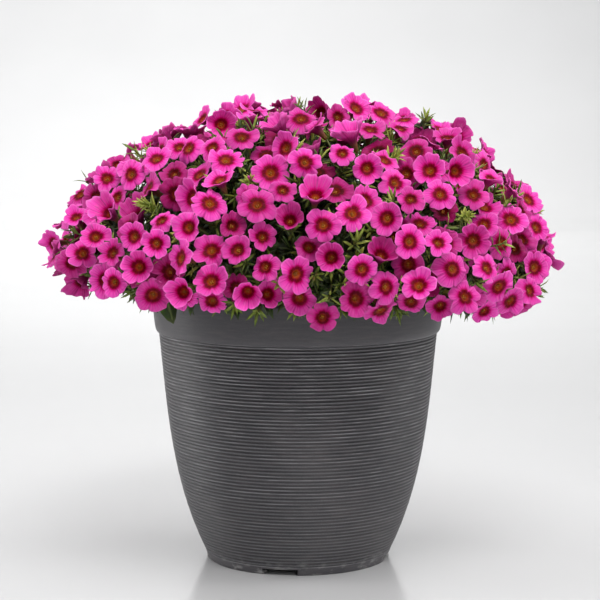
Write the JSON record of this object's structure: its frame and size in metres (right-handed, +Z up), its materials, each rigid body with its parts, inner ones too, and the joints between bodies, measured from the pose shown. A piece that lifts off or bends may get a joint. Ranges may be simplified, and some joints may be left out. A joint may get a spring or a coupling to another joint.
{
  "type": "potted calibrachoa",
  "caption": "Domed calibrachoa plant covered in small pink trumpet flowers, growing in a ribbed dark plastic patio pot.",
  "frame": {"origin": "centre of the pot's footprint, on the floor", "axes": "+Z up along the pot's axis, -Y towards the front of the plant, +X to its right"},
  "size_m": [0.4452, 0.4282, 0.4044],
  "materials": {
    "pot": "satin, finely ribbed",
    "soil": "rough, bark and peat",
    "foliage": "matt, softly hairy",
    "petals": "matt, velvety"
  },
  "bodies": {
    "root": {"pot": "pot", "soil": "soil", "leafy_stem_01": "foliage", "flower_spray_01": "petals", "leafy_stem_02": "foliage", "flower_spray_02": "petals", "leafy_stem_03": "foliage", "flower_spray_03": "petals", "leafy_stem_04": "foliage", "flower_spray_04": "petals", "leafy_stem_05": "foliage", "flower_spray_05": "petals", "leafy_stem_06": "foliage", "flower_spray_06": "petals", "leafy_stem_07": "foliage", "flower_spray_07": "petals", "leafy_stem_08": "foliage", "flower_spray_08": "petals", "leafy_stem_09": "foliage", "flower_spray_09": "petals", "leafy_stem_10": "foliage", "flower_spray_10": "petals", "leafy_stem_11": "foliage", "flower_spray_11": "petals", "leafy_stem_12": "foliage", "flower_spray_12": "petals", "leafy_stem_13": "foliage", "flower_spray_13": "petals", "leafy_stem_14": "foliage", "flower_spray_14": "petals", "leafy_stem_15": "foliage", "flower_spray_15": "petals", "leafy_stem_16": "foliage", "flower_spray_16": "petals", "leafy_stem_17": "foliage", "flower_spray_17": "petals", "leafy_stem_18": "foliage", "flower_spray_18": "petals", "leafy_stem_19": "foliage", "flower_spray_19": "petals", "leafy_stem_20": "foliage", "flower_spray_20": "petals", "leafy_stem_21": "foliage", "flower_spray_21": "petals", "leafy_stem_22": "foliage", "flower_spray_22": "petals", "leafy_stem_23": "foliage", "flower_spray_23": "petals", "leafy_stem_24": "foliage", "flower_spray_24": "petals", "leafy_stem_25": "foliage", "flower_spray_25": "petals", "leafy_stem_26": "foliage", "flower_spray_26": "petals", "leafy_stem_27": "foliage", "flower_spray_27": "petals", "leafy_stem_28": "foliage", "flower_spray_28": "petals"}
  },
  "joints": []
}
